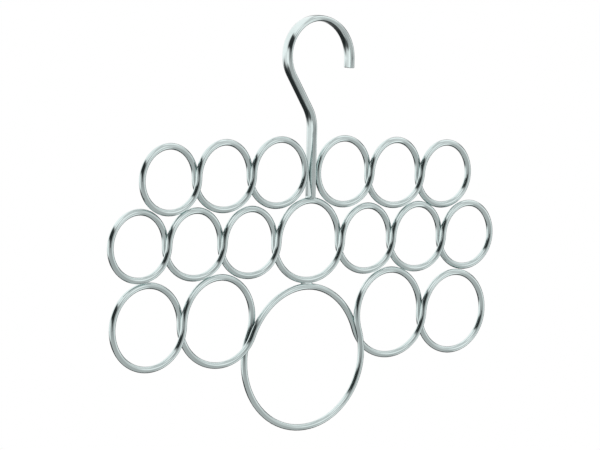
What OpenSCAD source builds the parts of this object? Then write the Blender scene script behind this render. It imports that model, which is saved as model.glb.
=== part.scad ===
// Scarf hanger: rows of round wire loops, wound in pairs, under one flat hook.
// X runs along the rows, Z is up, and -Y is the front. The origin is the middle of the
// hook's bend, where the rail runs.

/* [Wire] */
// Thickness of the wire that the loops are wound from
wire_d = 3.8; // [3:0.1:4.4]
// Clearance between the two wires of a row where they cross
cross_gap = 0.1; // [0.05:0.05:0.3]
// Clearance between the wires of one row and those of the next
row_gap = 0.2; // [0.1:0.05:0.5]

/* [Middle row] */
// Radius of the middle loop, to the middle of its wire
centre_r = 23.6; // [21:0.1:26]
// Radius of the small loops on each side of it
middle_r = 19.5; // [17:0.1:22]
// Number of small loops on each side
middle_count = 3; // [2:1:4]

/* [Top rows] */
// Radius of the loops next to the stem
top_r = 19.5; // [17:0.1:20.5]
// Radius of the outermost loop
top_outer_r = 19; // [17:0.1:20.5]
// Number of loops in each top row
top_count = 3; // [2:1:3]
// Clearance between the innermost loop and an upright stem
stem_gap = 1; // [0.8:0.1:3]

/* [Bottom row] */
// Radius of the big loop
big_r = 41.2; // [38:0.1:44]
// Radius of the loop next to it
bottom_r = 25.7; // [24:0.1:28]
// Radius of the outermost loop
bottom_outer_r = 24.1; // [22:0.1:26]
// Space between the middle loop's wire and the big loop's, which the weld bridge fills
bridge_gap = 2.3; // [1.5:0.1:4]
// Width of the weld bridge
bridge_w = 5.5; // [4.5:0.1:7]

/* [Hook] */
// Thickness of the flat bar, seen from the front
bar_t = 3.5; // [3:0.1:4.5]
// Width of the flat bar, from front to back
bar_w = 8.5; // [7:0.1:10]
// Radius of its long edges
bar_edge = 1; // [0.5:0.1:1.4]
// Length of the straight stem
stem_l = 40.5; // [30:0.5:60]
// Radius of the bend above the stem
neck_r = 23.5; // [18:0.5:30]
// Angle by which that bend leaves the stem
neck_angle = 32; // [20:1:45]
// Length of the slanted straight
neck_l = 23; // [15:0.5:32]
// Radius of the hook's closed side
hook_r = 21.5; // [18:0.5:28]
// Radius of the hook's open side
mouth_r = 24.3; // [19:0.1:30]
// Length of the straight tip
tip_l = 5.5; // [3:0.5:15]
// Clearance between the stem's foot and the wire it stands on
foot_gap = 0.1; // [0.05:0.05:0.3]

/* [Hidden] */

// Clearance between the weld bridge and the wires
seat_gap = 0.15;

wire_facets = 32;
ring_facets = 48;
chrome = [0.80, 0.83, 0.82];

// Where two wires cross, each lies this far from the plane of the rows
cross_y = (wire_d + cross_gap) / 2;

// Height of a loop's highest or lowest point above or below its centre, where half a ring
// runs from crossing to crossing
function crest(r) = norm([r, cross_y]);

// A loop is [x, z, radius], with its centre measured from that of the middle loop.
function centre_of(loop) = [loop[0], loop[1]];

// The point at distance da from a and db from b, on the left of the way from a to b,
// or on its right where side is -1
function meet(a, da, b, db, side) =
    let (
        gap = norm(b - a),
        along = (da * da - db * db + gap * gap) / (2 * gap),
        off = sqrt(max(0, da * da - along * along)),
        u = (b - a) / gap
    )
    a + along * u + side * off * [-u[1], u[0]];

// Distance between the centres of two loops of different rows that touch
function row_reach(r, loop) = r + loop[2] + wire_d + row_gap;

// Of some centres, the highest, or the lowest where side is -1
function outermost(centres, side, i = 0) =
    i == len(centres) - 1 ? centres[i] :
    let (rest = outermost(centres, side, i + 1))
    side * centres[i][1] > side * rest[1] ? centres[i] : rest;

// A loop of radius r that touches the loop before it in its own row and rests on a row
function resting_loop(before, r, row, side) =
    let (
        reach = before[2] + r,
        near = [for (loop = row) if (norm(centre_of(loop) - centre_of(before)) < reach + row_reach(r, loop)
            && loop[0] > before[0]) loop],
        c = outermost([for (loop = near)
            meet(centre_of(before), reach, centre_of(loop), row_reach(r, loop), side)], side)
    )
    [c[0], c[1], r];

// The height at which a loop of radius r at x rests on a row
function rest_height(x, r, row) = max([for (loop = row) if (abs(x - loop[0]) < row_reach(r, loop))
    loop[1] + sqrt(pow(row_reach(r, loop), 2) - pow(x - loop[0], 2))]);

// Right half of a row, and the whole row with its mirror image on the left
function mirrored(right) = concat([for (i = [len(right) - 1 : -1 : 1]) [-right[i][0], right[i][1], right[i][2]]], right);

middle_right = concat([[0, 0, centre_r]], [for (i = [0 : middle_count - 1])
    [centre_r + middle_r * (2 * i + 1), 0, middle_r]]);
middle_row = mirrored(middle_right);

// A top row runs straight. It rests on the middle loop at the stem and on a small loop at
// its outer end.
top_x = bar_t / 2 + stem_gap + wire_d / 2 + top_r;
top_inner = [top_x, rest_height(top_x, top_r, middle_row), top_r];
top_reach = 2 * top_r * (top_count - 1);
top_end = resting_loop([top_x, top_inner[1], top_reach - top_r], top_outer_r, middle_row, 1);
top_way = (centre_of(top_end) - centre_of(top_inner)) / (top_reach - top_r + top_outer_r);
top_row = [for (i = [0 : top_count - 1])
    let (c = centre_of(top_inner) + top_way * (2 * top_r * i - (i == top_count - 1 ? top_r - top_outer_r : 0)))
    [c[0], c[1], i == top_count - 1 ? top_outer_r : top_r]];

big_loop = [0, -(centre_r + big_r + wire_d + bridge_gap), big_r];
bottom_mid = resting_loop(big_loop, bottom_r, middle_row, -1);
bottom_outer = resting_loop(bottom_mid, bottom_outer_r, middle_row, -1);
bottom_right = [big_loop, bottom_mid, bottom_outer];
bottom_row = mirrored(bottom_right);

// Direction of the line from loop i to the next, where the last two share theirs
function slope(row, i) =
    let (k = min(max(i, 0), len(row) - 2), d = centre_of(row[k + 1]) - centre_of(row[k]))
    atan2(d[1], d[0]);

function in_line(row) = len([for (i = [1 : len(row) - 1]) if (abs(slope(row, i) - slope(row, 0)) > 0.001) i]) == 0;

// One side of a loop is two equal bends of the wire. Each lies in a plane of its own, so that
// the wire crosses from one side of the row to the other while it goes round. half is the
// angle round the loop that a bend covers, and roll turns its plane about the wire.
function bend_angle(half, roll) = atan2(sin(half), cos(half) * cos(roll));
function bend_radius(r, half, roll) = r * sin(half)
    / (cos(roll) * sin(half) + pow(sin(roll), 2) * sin(bend_angle(half, roll)) * cos(half));
function bend_roll(r, half, shift, tries = 8) =
    let (roll = tries == 0 ? 0 : bend_roll(r, half, shift, tries - 1))
    asin(shift / (bend_radius(r, half, roll) * (1 - cos(bend_angle(half, roll)))));

// Half a ring of an outline, its child, from the origin along Z and over towards +X
module half_ring(r) {
    translate([r, 0, 0]) rotate([90, 0, 0])
        rotate_extrude(angle = 180, $fn = ring_facets) translate([r, 0]) children();
}

// Places its children at the far end of a bend that starts as that half ring does
module after_bend(r, angle) {
    translate([r, 0, 0]) rotate([0, angle, 0]) translate([-r, 0, 0]) children();
}

// A shorter bend of the same outline. reach is more than half the outline's size.
module bend(r, angle, reach) {
    difference() {
        half_ring(r) children();
        after_bend(r, angle) translate([-reach, -reach, 0]) cube([2 * (r + reach), 2 * reach, r + reach]);
    }
}

// A bend of the wire whose outline starts where that of the bend before it does. The planes
// of the two are twist apart.
module wire_bend(r, angle, twist) {
    bend(r, angle, wire_d) rotate(-twist) circle(d = wire_d, $fn = wire_facets);
}

// The wire from loop i to the end of its row. It starts along Z with the loop's centre
// towards +X, goes round one side and changes to the other side at each crossing.
module wound(row, upper, i = 0, twist = 0) {
    turn = (slope(row, i) - slope(row, i - 1)) / 2;
    half = upper ? 90 - turn : 90 + turn;
    shift = i == 0 || i == len(row) - 1 ? cross_y / 2 : cross_y;
    roll = bend_roll(row[i][2], half, shift);
    mid_roll = -2 * asin(sin(roll) * cos(half));
    r = bend_radius(row[i][2], half, roll);
    angle = bend_angle(half, roll);
    rotate([0, 0, roll]) {
        wire_bend(r, angle, twist + roll);
        after_bend(r, angle) rotate([0, 0, mid_roll]) {
            wire_bend(r, angle, twist + roll + mid_roll);
            after_bend(r, angle) next_loop(row, i, roll)
                wound(row, !upper, i + 1, twist + 2 * roll + mid_roll + 180);
        }
    }
}

// Angle by which such a ring leans out of the row's plane to pass shift to each side of it.
// Its cosine is rounded to six places, so that the joints between rings stay exact.
function lean(r, shift) = acos(round(r / norm([r, shift]) * 1e6) / 1e6);

// The same in a row whose loops stand in line: each side of a loop is half a ring
module wound_in_line(row, i = 0) {
    roll = lean(row[i][2], i == 0 || i == len(row) - 1 ? cross_y / 2 : cross_y);
    r = row[i][2] / cos(roll);
    rotate([0, 0, roll]) {
        half_ring(r) circle(d = wire_d, $fn = wire_facets);
        after_bend(r, 180) next_loop(row, i, roll) wound_in_line(row, i + 1);
    }
}

module next_loop(row, i, roll) {
    if (i < len(row) - 1) rotate([0, 0, roll + 180]) children();
}

// A whole wire of a row, from the far side of its first loop
module wire(row, upper) {
    a = slope(row, 0);
    start = centre_of(row[0]) - row[0][2] * [cos(a), sin(a)];
    translate([start[0], 0, start[1]]) rotate([0, -a, 0]) rotate([upper ? 0 : 180, 0, 0])
        if (in_line(row)) wound_in_line(row);
        else wound(row, upper);
}

// The hook's bend lies over the foot of the stem because the stem leans by this angle,
// so that the hanger hangs level.
foot_z = crest(centre_r) + wire_d / 2 + foot_gap;
bend_x = hook_r * cos(neck_angle) - neck_r * (1 - cos(neck_angle)) - neck_l * sin(neck_angle);
bend_z = stem_l + neck_r * sin(neck_angle) + neck_l * cos(neck_angle) + hook_r * sin(neck_angle);
stem_lean = atan2(bend_x, bend_z);
rail_z = foot_z + norm([bend_x, bend_z]);

// Turns a place measured from the middle loop into one measured from the rail
module from_rail() {
    translate([0, 0, -rail_z]) children();
}

module bar_section() {
    square([bar_t - 2 * bar_edge, bar_w], center = true);
    square([bar_t, bar_w - 2 * bar_edge], center = true);
    for (x = [-1, 1], y = [-1, 1])
        translate([x * (bar_t / 2 - bar_edge), y * (bar_w / 2 - bar_edge)]) circle(r = bar_edge, $fn = 24);
}

module bar_straight(l) {
    linear_extrude(height = l) bar_section();
}

module bar_bend(r, angle) {
    bend(r, angle, bar_w) bar_section();
}

module hook_bar() {
    translate([0, 0, foot_z]) rotate([0, -stem_lean, 0]) {
        bar_straight(stem_l);
        translate([0, 0, stem_l]) rotate([0, 0, 180]) {
            bar_bend(neck_r, neck_angle);
            after_bend(neck_r, neck_angle) {
                bar_straight(neck_l);
                translate([0, 0, neck_l]) rotate([0, 0, 180]) {
                    bar_bend(hook_r, 90 + neck_angle);
                    after_bend(hook_r, 90 + neck_angle) {
                        bar_bend(mouth_r, 90);
                        after_bend(mouth_r, 90) bar_straight(tip_l);
                    }
                }
            }
        }
    }
}

module top_right_wire_a() {
    color(chrome) from_rail() wire(top_row, true);
}

module top_right_wire_b() {
    color(chrome) from_rail() wire(top_row, false);
}

module top_left_wire_a() {
    rotate([0, 0, 180]) top_right_wire_a();
}

module top_left_wire_b() {
    rotate([0, 0, 180]) top_right_wire_b();
}

module middle_wire_a() {
    color(chrome) from_rail() wire(middle_row, true);
}

module middle_wire_b() {
    color(chrome) from_rail() wire(middle_row, false);
}

module bottom_wire_a() {
    color(chrome) from_rail() wire(bottom_row, true);
}

module bottom_wire_b() {
    color(chrome) from_rail() wire(bottom_row, false);
}

// The bridge is as high as the space between the wires and a little way up the sides of both.
// Its ends are hollowed for them, each in the direction in which its wire passes.
bridge_h = bridge_gap + 0.8 * (wire_d / 2);
big_half = 90 - (slope(bottom_row, len(bottom_right) - 1) - slope(bottom_row, len(bottom_right) - 2)) / 2;

module bridge_weld() {
    color(chrome) from_rail() difference() {
        translate([0, 0, -centre_r - (wire_d + bridge_gap) / 2])
            cylinder(d = bridge_w, h = bridge_h, center = true, $fn = 96);
        translate([0, 0, -centre_r]) rotate([0, 0, -atan(cross_y / centre_r)]) bridge_seat();
        translate([0, 0, -centre_r - wire_d - bridge_gap])
            rotate([0, 0, atan(cross_y / big_r / tan(big_half / 2))]) bridge_seat();
    }
}

module bridge_seat() {
    rotate([0, 90, 0]) cylinder(d = wire_d + 2 * seat_gap, h = 2 * bridge_w, center = true, $fn = 96);
}

module hook() {
    color(chrome) from_rail() hook_bar();
}

top_left_wire_a();
top_left_wire_b();
top_right_wire_a();
top_right_wire_b();
middle_wire_a();
middle_wire_b();
bottom_wire_a();
bottom_wire_b();
bridge_weld();
hook();
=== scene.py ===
import math

import bmesh
import bpy
from mathutils import Matrix, Vector


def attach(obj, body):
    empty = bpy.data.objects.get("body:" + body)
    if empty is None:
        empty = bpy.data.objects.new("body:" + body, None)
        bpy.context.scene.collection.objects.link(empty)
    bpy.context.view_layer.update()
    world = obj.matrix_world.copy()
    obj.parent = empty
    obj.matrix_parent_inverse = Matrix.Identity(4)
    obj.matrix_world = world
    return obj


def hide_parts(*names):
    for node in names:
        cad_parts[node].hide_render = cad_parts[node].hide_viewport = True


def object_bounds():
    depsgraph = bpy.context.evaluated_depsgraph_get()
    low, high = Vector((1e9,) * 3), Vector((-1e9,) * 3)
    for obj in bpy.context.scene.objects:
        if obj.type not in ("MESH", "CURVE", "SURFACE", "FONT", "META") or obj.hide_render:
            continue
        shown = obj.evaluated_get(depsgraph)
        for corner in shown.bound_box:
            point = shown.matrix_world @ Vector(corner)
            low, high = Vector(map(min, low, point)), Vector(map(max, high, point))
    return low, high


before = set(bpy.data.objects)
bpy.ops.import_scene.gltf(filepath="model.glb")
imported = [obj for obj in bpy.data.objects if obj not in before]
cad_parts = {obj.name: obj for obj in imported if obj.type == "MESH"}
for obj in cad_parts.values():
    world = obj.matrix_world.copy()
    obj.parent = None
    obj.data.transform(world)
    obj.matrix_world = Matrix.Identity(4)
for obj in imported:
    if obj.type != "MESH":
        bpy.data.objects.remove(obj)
cad_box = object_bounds()


# ---------------------------------------------------------------------------
# Wires of the loops. Each row is two lengths of drawn steel wire, formed cold,
# wound round each other and butt-welded at the outer loops, then polished and
# plated with nickel and bright chrome.
# ---------------------------------------------------------------------------
def hex_colour(text):
    """Linear colour of an sRGB hex value such as "d3dad8"."""
    parts = [int(text[i:i + 2], 16) / 255 for i in (0, 2, 4)]
    linear = [v / 12.92 if v <= 0.04045 else ((v + 0.055) / 1.055) ** 2.4 for v in parts]
    return (*linear, 1.0)


def add_node(tree, kind, settings=None, values=None, links=None):
    """A node with its properties, its inputs' values, and links from (node, output) to inputs."""
    made = tree.nodes.new(kind)
    for name, value in (settings or {}).items():
        setattr(made, name, value)
    for name, value in (values or {}).items():
        made.inputs[name].default_value = value
    for name, (source, output) in (links or {}).items():
        tree.links.new(source.outputs[output], made.inputs[name])
    return made


def ramp_stops(ramp_node, stops):
    """Gives a colour ramp its stops, each as position and colour."""
    stop_list = ramp_node.color_ramp.elements
    while len(stop_list) > 1:
        stop_list.remove(stop_list[-1])
    for k, (position, shade) in enumerate(stops):
        stop = stop_list[0] if k == 0 else stop_list.new(position)
        stop.position = position
        stop.color = shade


def plated_finish(name, plate_hex, cloudy_hex, smooth, dull, grain_size, grain_depth):
    """Bright chrome plate: faintly cloudy, hazed by polishing, and waved like the metal below."""
    cloud_size = 0.0182
    haze_size = 0.00238  # far finer on the real plate, drawn as coarse as it needs to show
    finish = bpy.data.materials.new(name)
    finish.use_nodes = True
    tree = finish.node_tree
    tree.nodes.clear()
    place = add_node(tree, "ShaderNodeTexCoord")
    cloud = add_node(tree, "ShaderNodeTexNoise",
                     values={"Scale": 1 / cloud_size, "Detail": 3, "Roughness": 0.55},
                     links={"Vector": (place, "Object")})
    tone = add_node(tree, "ShaderNodeValToRGB", links={"Fac": (cloud, "Fac")})
    ramp_stops(tone, [(0.35, hex_colour(cloudy_hex)), (0.65, hex_colour(plate_hex))])
    haze = add_node(tree, "ShaderNodeTexNoise",
                    values={"Scale": 1 / haze_size, "Detail": 4, "Roughness": 0.6},
                    links={"Vector": (place, "Object")})
    polish = add_node(tree, "ShaderNodeMapRange",
                      values={"From Min": 0.3, "From Max": 0.7, "To Min": smooth, "To Max": dull},
                      links={"Value": (haze, "Fac")})
    waves = add_node(tree, "ShaderNodeTexNoise", values={"Scale": 1 / grain_size, "Detail": 2},
                     links={"Vector": (place, "Object")})
    relief = add_node(tree, "ShaderNodeBump", values={"Strength": 0.25, "Distance": grain_depth},
                      links={"Height": (waves, "Fac")})
    metal = add_node(tree, "ShaderNodeBsdfPrincipled", values={"Metallic": 1.0},
                     links={"Base Color": (tone, "Color"), "Roughness": (polish, "Result"),
                            "Normal": (relief, "Normal")})
    add_node(tree, "ShaderNodeOutputMaterial", links={"Surface": (metal, "BSDF")})
    return finish


# Chrome plate on drawn wire: a mirror with a slight cool green-grey cast
wire_plate = plated_finish("chrome_plate_on_drawn_wire", "d8e4e3", "cbd8d7",
                           smooth=0.03, dull=0.08, grain_size=0.0035, grain_depth=0.0001)

for row in ("top_left", "top_right", "middle"):
    for length in ("a", "b"):
        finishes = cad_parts[f"{row}_wire_{length}"].data.materials
        finishes.clear()
        finishes.append(wire_plate)


# ---------------------------------------------------------------------------
# Bottom row: two lengths of the same wire, wound round each other like the rest.
# Its big loop comes up until it touches the middle loop, to which it is welded.
# ---------------------------------------------------------------------------
wire_radius = 1.9  # in mm, like all sizes of this row up to its finished shape
crossing_gap = 0.1  # between the two wires where they cross
wire_sides = 32
bend_steps = 24

# The loops from left to right: x and z of the centre, measured from the middle loop's, and radius
bottom_loops = ((-113.1, -46.9, 24.1), (-63.4, -45.5, 25.7), (0, -69.7, 42.1),
                (63.4, -45.5, 25.7), (113.1, -46.9, 24.1))

# The way from each loop to the next, carried on straight past both ends of the row
row_ways = [math.atan2(after[1] - loop[1], after[0] - loop[0])
            for loop, after in zip(bottom_loops, bottom_loops[1:])]
row_ways = [row_ways[0], *row_ways, row_ways[-1]]

# The middle loop is the tallest of its straight row, so its centre is halfway up the row
row_heights = [vertex.co.z for length in ("a", "b")
               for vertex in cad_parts[f"middle_wire_{length}"].data.vertices]
middle_loop = Vector((0, 0, round((min(row_heights) + max(row_heights)) / 2, 5)))


def bend_angle(half, roll):
    """Angle of a bend over half of one side of a loop, in a plane rolled out of the row's."""
    return math.atan2(math.sin(half), math.cos(half) * math.cos(roll))


def bend_radius(radius, half, roll):
    """Radius of such a bend, so that it passes both the crossing and the crown of the loop."""
    return radius * math.sin(half) / (
        math.cos(roll) * math.sin(half)
        + math.sin(roll) ** 2 * math.sin(bend_angle(half, roll)) * math.cos(half))


def bend_roll(radius, half, shift):
    """Roll with which such a bend comes this far out of the row's plane, found by repetition."""
    roll = 0
    for _ in range(8):
        rise = bend_radius(radius, half, roll) * (1 - math.cos(bend_angle(half, roll)))
        roll = math.asin(shift / rise)
    return roll


def add_object(name, shape, finish):
    """A new object of the scene from its bmesh, which is freed, and its material."""
    made = bpy.data.objects.new(name, bpy.data.meshes.new(name))
    shape.to_mesh(made.data)
    shape.free()
    bpy.context.scene.collection.objects.link(made)
    made.data.materials.append(finish)
    return made


for length, upper in (("a", True), ("b", False)):
    # The wire's own end, at the left of the first loop, looks up that loop or down it
    left_x, left_z, left_radius = bottom_loops[0]
    left_end = (left_x - left_radius * math.cos(row_ways[0]), 0,
                left_z - left_radius * math.sin(row_ways[0]))
    place = (Matrix.Translation(left_end) @ Matrix.Rotation(-row_ways[0], 4, "Y")
             @ Matrix.Rotation(0 if upper else math.pi, 4, "X"))
    tube = bmesh.new()
    bmesh.ops.create_circle(tube, cap_ends=True, segments=wire_sides, radius=wire_radius,
                            matrix=place)
    section = tube.verts[:] + tube.edges[:] + tube.faces[:]

    for k, (_, _, radius) in enumerate(bottom_loops):
        # Each side of a loop is two bends, longer ones on the outside where the row turns
        turn = (row_ways[k + 1] - row_ways[k]) / 2
        half = math.pi / 2 - turn if upper == (k % 2 == 0) else math.pi / 2 + turn
        # The wire crosses in front of the other or behind it, but ends in the row's own plane
        shift = wire_radius + crossing_gap / 2
        if k in (0, len(bottom_loops) - 1):
            shift /= 2
        roll = bend_roll(radius, half, shift)
        angle = bend_angle(half, roll)
        to_centre = Matrix.Translation((bend_radius(radius, half, roll), 0, 0))
        for twist in (roll, -2 * math.asin(math.sin(roll) * math.cos(half))):
            place = place @ Matrix.Rotation(twist, 4, "Z")
            section = bmesh.ops.spin(tube, geom=section, cent=(place @ to_centre).translation,
                                     axis=place.col[1].xyz, angle=angle,
                                     steps=bend_steps)["geom_last"]
            place = place @ to_centre @ Matrix.Rotation(angle, 4, "Y") @ to_centre.inverted()
        place = place @ Matrix.Rotation(roll + math.pi, 4, "Z")

    # Smooth all round, with flat ends
    bmesh.ops.recalc_face_normals(tube, faces=tube.faces)
    for face in tube.faces:
        face.smooth = len(face.verts) == 4
        for edge in face.edges:
            edge.smooth = edge.smooth and face.smooth
    bmesh.ops.scale(tube, vec=(0.001, 0.001, 0.001), verts=tube.verts)
    bmesh.ops.translate(tube, vec=middle_loop, verts=tube.verts)

    wire = add_object(f"bottom_row_wire_{length}", tube, wire_plate)
    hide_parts(f"bottom_wire_{length}")
    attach(wire, "root")


# ---------------------------------------------------------------------------
# Weld between the middle loop and the big loop below it: a bead of weld metal
# at the point where the two touch, ground smooth and plated over with the rest.
# ---------------------------------------------------------------------------
def weld_bead(width, depth, height, level):
    """A bead of weld metal on the hanger's middle line, ground to a smooth oval."""
    metal = bmesh.new()
    bmesh.ops.create_uvsphere(metal, u_segments=48, v_segments=24, radius=0.5)
    bmesh.ops.scale(metal, vec=(width, depth, height), verts=metal.verts)
    bmesh.ops.translate(metal, vec=(0, 0, level), verts=metal.verts)
    for face in metal.faces:
        face.smooth = True
    return metal


# Chrome plate over weld metal, a little duller and more uneven than on the wire
weld_plate = plated_finish("chrome_plate_on_weld_metal", "e2ebea", "cfdbda",
                           smooth=0.14, dull=0.26, grain_size=0.0011, grain_depth=0.0003)

touching_point = weld_bead(width=0.0084, depth=0.0034, height=0.0024, level=-0.1351)
bead = add_object("middle_weld", touching_point, weld_plate)
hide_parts("bridge_weld")
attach(bead, "root")


# ---------------------------------------------------------------------------
# Hook: one flat steel bar with rounded edges, bent cold over two formers and
# stood on the middle loop, plated with the rest.
# ---------------------------------------------------------------------------
bar_thickness = 0.0035
bar_width = 0.0085
rolled_width = 0.0050  # at which its edges are round, before they are drawn out to ovals
edge_radius = 0.0017
burr = 0.0004
stem_lean = 1.69  # degrees, which brings the top of the hook over its foot
foot_level = -0.0839

# The bar's course from its foot up, each part as length, radius and turn in degrees
hook_course = (
    (0.0405, 0, 0),  # stem
    (0, 0.0235, -32),  # neck
    (0.023, 0, 0),  # slanted straight
    (0, 0.0215, 122),  # closed side
    (0, 0.0243, 90),  # open side
    (0.0055, 0, 0),  # tip
)

# Chrome plate on flat bar, which polishes a little brighter than the wire
bar_plate = plated_finish("chrome_plate_on_flat_bar", "dce7e6", "d0dcdb",
                          smooth=0.04, dull=0.10, grain_size=0.006, grain_depth=0.0002)

# The bar's section: a flat oval, whose edges are rounded well into both flat sides
bar = bmesh.new()
bmesh.ops.create_grid(bar, x_segments=1, y_segments=1, size=0.5)
bmesh.ops.scale(bar, vec=(bar_thickness, rolled_width, 1), verts=bar.verts)
bmesh.ops.bevel(bar, geom=bar.verts[:], offset=edge_radius, offset_type="OFFSET", segments=4,
                profile=0.5, affect="VERTICES", material=-1)
bmesh.ops.scale(bar, vec=(1, bar_width / rolled_width, 1), verts=bar.verts)

heading = -math.radians(stem_lean)
spot = Vector((0, 0, foot_level))
bmesh.ops.rotate(bar, cent=(0, 0, 0), matrix=Matrix.Rotation(heading, 3, "Y"), verts=bar.verts)
bmesh.ops.translate(bar, vec=spot, verts=bar.verts)

section = bar.verts[:] + bar.edges[:] + bar.faces[:]
for length, radius, turn in hook_course:
    if turn:
        inward = math.copysign(radius, turn)
        centre = spot + inward * Vector((math.cos(heading), 0, -math.sin(heading)))
        section = bmesh.ops.spin(bar, geom=section, cent=centre, axis=(0, 1, 0),
                                 angle=math.radians(turn), steps=abs(turn) // 2)["geom_last"]
        heading += math.radians(turn)
        spot = centre - inward * Vector((math.cos(heading), 0, -math.sin(heading)))
    else:
        section = bmesh.ops.extrude_face_region(bar, geom=section)["geom"]
        ahead = length * Vector((math.sin(heading), 0, math.cos(heading)))
        bmesh.ops.translate(bar, vec=ahead,
                            verts=[v for v in section if isinstance(v, bmesh.types.BMVert)])
        spot = spot + ahead
bmesh.ops.recalc_face_normals(bar, faces=bar.faces)

# Both sawn ends have their burr taken off
ends = [face for face in bar.faces if len(face.verts) > 4]
bmesh.ops.bevel(bar, geom=[edge for face in ends for edge in face.edges], offset=burr,
                offset_type="OFFSET", segments=3, profile=0.5, affect="EDGES", material=-1)
for face in bar.faces:
    face.smooth = True

hook = add_object("hook_bar", bar, bar_plate)
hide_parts("hook")
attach(hook, "root")


# ---------------------------------------------------------------------------
# Weld at the stem's foot: a low ring of weld metal between the sawn end of the
# bar and the wire of the middle loop, ground smooth and plated over.
# ---------------------------------------------------------------------------
foot_ring = weld_bead(width=0.0054, depth=0.0072, height=0.0022, level=-0.0842)
foot_weld = add_object("stem_weld", foot_ring, weld_plate)
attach(foot_weld, "root")


# ---------------------------------------------------------------------------
# Camera, at the photograph's viewing angle: from the left and a little above,
# with a long lens, and turned slightly about its own axis.
# ---------------------------------------------------------------------------
side, height, tilt = (math.radians(v) for v in (-37.5, 5.93, 2.59))
pixel = 0.00059  # what one of the photograph's pixels covers at the hanger, in metres
photo_width = 600 * pixel
distance = 3182 * pixel
off_left, off_up = 8.4 * pixel, 15.25 * pixel  # from the middle loop to the photograph's centre

to_camera = Vector((math.sin(side) * math.cos(height), -math.cos(side) * math.cos(height),
                    math.sin(height)))
sideways = Vector((math.cos(side), math.sin(side), 0))
upright = to_camera.cross(sideways)
right = math.cos(tilt) * sideways + math.sin(tilt) * upright
up = -math.sin(tilt) * sideways + math.cos(tilt) * upright

camera = bpy.data.objects.new("camera", bpy.data.cameras.new("camera"))
bpy.context.scene.collection.objects.link(camera)
camera.data.lens = camera.data.sensor_width * distance / photo_width
camera.data.clip_start = 0.1
camera.data.clip_end = 20
camera.matrix_world = (
    Matrix.Translation(middle_loop - off_left * right + off_up * up + distance * to_camera)
    @ Matrix((right, up, to_camera)).transposed().to_4x4())
bpy.context.scene.camera = camera


# ---------------------------------------------------------------------------
# Studio: white paper below the hanger, two lamps, and a plain white surround.
# Only the chrome sees the surround as a room, with pale walls, soft boxes and
# two dark screens that draw the bright and dark streaks along the wires.
# ---------------------------------------------------------------------------
floor_drop = 0.3  # from the hanger's lowest point down to the paper
paper_reach = 0.5  # from the paper's middle to each side
fade_start, fade_end = 0.3, 0.48  # where it starts to turn white, and where it is white

# Matt white paper, which turns into the white of the surround at its edges
paper = bpy.data.materials.new("white_paper")
paper.use_nodes = True
tree = paper.node_tree
tree.nodes.clear()
place = add_node(tree, "ShaderNodeTexCoord")
spread = add_node(tree, "ShaderNodeVectorMath", {"operation": "LENGTH"},
                  links={0: (place, "Object")})
matt = add_node(tree, "ShaderNodeBsdfDiffuse", values={"Color": hex_colour("fafafa")})
glow = add_node(tree, "ShaderNodeEmission", values={"Color": (1, 1, 1, 1), "Strength": 1.0})
edge = add_node(tree, "ShaderNodeMapRange", values={"From Min": fade_start, "From Max": fade_end},
                links={"Value": (spread, "Value")})
mixed = add_node(tree, "ShaderNodeMixShader",
                 links={0: (edge, "Result"), 1: (matt, "BSDF"), 2: (glow, "Emission")})
add_node(tree, "ShaderNodeOutputMaterial", links={"Surface": (mixed, "Shader")})

sheet = bmesh.new()
bmesh.ops.create_grid(sheet, x_segments=1, y_segments=1, size=paper_reach)
bmesh.ops.translate(sheet, vec=(0, 0, cad_box[0][2] - floor_drop), verts=sheet.verts)
floor = add_object("floor", sheet, paper)
floor.visible_glossy = False

surround = bpy.data.worlds.new("surround")
bpy.context.scene.world = surround
surround.use_nodes = True
tree = surround.node_tree
tree.nodes.clear()
place = add_node(tree, "ShaderNodeTexCoord")


def grey(strength):
    """Light of this strength, without a colour."""
    return (strength, strength, strength, 1)


def along(direction):
    """How far a direction of the surround points along this one, from -1 to 1."""
    return add_node(tree, "ShaderNodeVectorMath", {"operation": "DOT_PRODUCT"}, {1: direction},
                    {0: (place, "Generated")})


def across(direction, inner, outer):
    """1 in a band round the great circle square to this direction, fading to 0 at outer."""
    apart = add_node(tree, "ShaderNodeMath", {"operation": "ABSOLUTE"},
                     links={0: (along(direction), "Value")})
    return add_node(tree, "ShaderNodeMapRange", {"interpolation_type": "SMOOTHSTEP"},
                    {"From Min": outer, "From Max": inner}, {"Value": (apart, "Value")})


def faces(direction, start, full):
    """0 where the surround lies less than start along a direction, rising to 1 at full."""
    return add_node(tree, "ShaderNodeMapRange", {"interpolation_type": "SMOOTHSTEP"},
                    {"From Min": start, "From Max": full}, {"Value": (along(direction), "Value")})


def both(first, second, strength=1.0):
    """Where two of these overlap, at this strength."""
    product = add_node(tree, "ShaderNodeMath", {"operation": "MULTIPLY"},
                       links={0: (first, 0), 1: (second, 0)})
    return add_node(tree, "ShaderNodeMath", {"operation": "MULTIPLY"}, {1: strength},
                    {0: (product, 0)})


def either(patterns):
    """The strongest of several of these everywhere."""
    strongest = patterns[0]
    for pattern in patterns[1:]:
        strongest = add_node(tree, "ShaderNodeMath", {"operation": "MAXIMUM"},
                             links={0: (strongest, 0), 1: (pattern, 0)})
    return strongest


# The room, from behind the hanger round to the camera: the dark just beyond the edge of the
# white backdrop, bright side walls, and a greyer part on the camera's side
way_round = add_node(tree, "ShaderNodeMapRange", values={"From Min": -1, "From Max": 1},
                     links={"Value": (along(to_camera), "Value")})
room = add_node(tree, "ShaderNodeValToRGB", links={"Fac": (way_round, "Result")})
ramp_stops(room, [(position, grey(strength)) for position, strength in (
    (0, 0.6), (0.02, 0.09), (0.28, 0.06), (0.345, 0.85),
    (0.44, 0.92), (0.56, 0.55), (0.8, 0.44), (1, 0.48))])
in_room = faces(to_camera, -0.45, -0.25)

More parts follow.
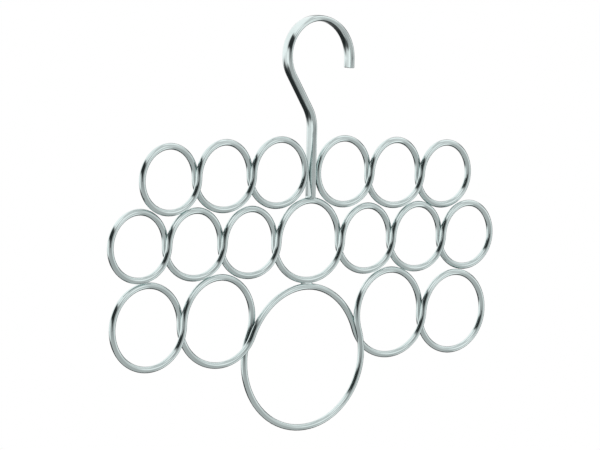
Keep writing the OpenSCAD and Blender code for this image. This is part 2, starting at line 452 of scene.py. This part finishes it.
boxes = either([faces(box_way.normalized(), start, full) for box_way, start, full in (
    (-0.62 * right + 0.55 * up - 0.56 * to_camera, 0.66, 0.82),  # left, behind the hanger
    (-0.45 * right + 0.89 * up, 0.80, 0.94),  # above, on the left
    (0.50 * right + 0.75 * up - 0.43 * to_camera, 0.86, 0.95),  # above, on the right
    (0.96 * right - 0.05 * up - 0.28 * to_camera, 0.955, 0.985),  # right
    (0.80 * right - 0.50 * up - 0.32 * to_camera, 0.94, 0.98),  # right, low
    (0.84 * right + 0.25 * up + 0.48 * to_camera, 0.95, 0.98),  # right, towards the camera
    (0.19 * right + 0.67 * up + 0.72 * to_camera, 0.94, 0.98),  # above the camera
    (-0.95 * right - 0.18 * up + 0.26 * to_camera, 0.90, 0.975),  # left
)])

# A long dark screen on the left, from the side round to the camera, and one low on the left
screen_way = (-0.50 * right + 0.33 * up + 0.80 * to_camera).normalized()
screen_side = (0.49 * right + 0.87 * up - 0.13 * to_camera).normalized()
screen = both(across(screen_side, 0.20, 0.36), faces(screen_way, 0.35, 0.66), 0.97)
low_way = (-0.70 * right - 0.55 * up - 0.45 * to_camera).normalized()
low_side = (-0.54 * right + 0.84 * up - 0.1 * to_camera).normalized()
low_screen = both(across(low_side, 0.12, 0.34), faces(low_way, 0.72, 0.94), 0.85)

# What the chrome mirrors: the room, with each of these laid over what comes before it
mirrored = (room, "Color")
for shade, where in (
        (grey(0.78), faces(right, 0.75, 1.0)),  # wide pale wall on the right
        (grey(0.76), both(faces(up, 0.35, 0.75), in_room)),  # pale ceiling
        (grey(0.54), both(faces(-up, 0.2, 0.5), in_room)),  # greyer ground
        (grey(1.15), boxes),
        ((0.015, 0.02, 0.02, 1), either([screen, low_screen]))):
    laid_over = add_node(tree, "ShaderNodeMix", {"data_type": "RGBA"}, {"B": shade},
                         {"Factor": (where, 0), "A": mirrored})
    mirrored = (laid_over, "Result")

mirrored_room = add_node(tree, "ShaderNodeBackground", links={"Color": mirrored})
plain_white = add_node(tree, "ShaderNodeBackground", values={"Color": (1, 1, 1, 1)})
path = add_node(tree, "ShaderNodeLightPath")
surroundings = add_node(tree, "ShaderNodeMixShader",
                        links={0: (path, "Is Glossy Ray"), 1: (plain_white, "Background"),
                               2: (mirrored_room, "Background")})
add_node(tree, "ShaderNodeOutputWorld", links={"Surface": (surroundings, "Shader")})

# The lamps themselves don't show in the chrome, only the soft boxes do
lamp_size = 0.6
for name, power, away in (("lamp_right", 5, 1.2 * right + 0.3 * up + 0.35 * to_camera),
                          ("lamp_top", 7, -0.3 * right + 1.2 * up + 0.3 * to_camera)):
    lamp = bpy.data.objects.new(name, bpy.data.lights.new(name, "AREA"))
    lamp.data.shape = "SQUARE"
    lamp.data.size = lamp_size
    lamp.data.energy = power
    lamp.visible_glossy = False
    lamp.matrix_world = (Matrix.Translation(middle_loop + away)
                         @ away.to_track_quat("Z", "Y").to_matrix().to_4x4())
    bpy.context.scene.collection.objects.link(lamp)

bpy.context.scene.view_settings.view_transform = "Standard"
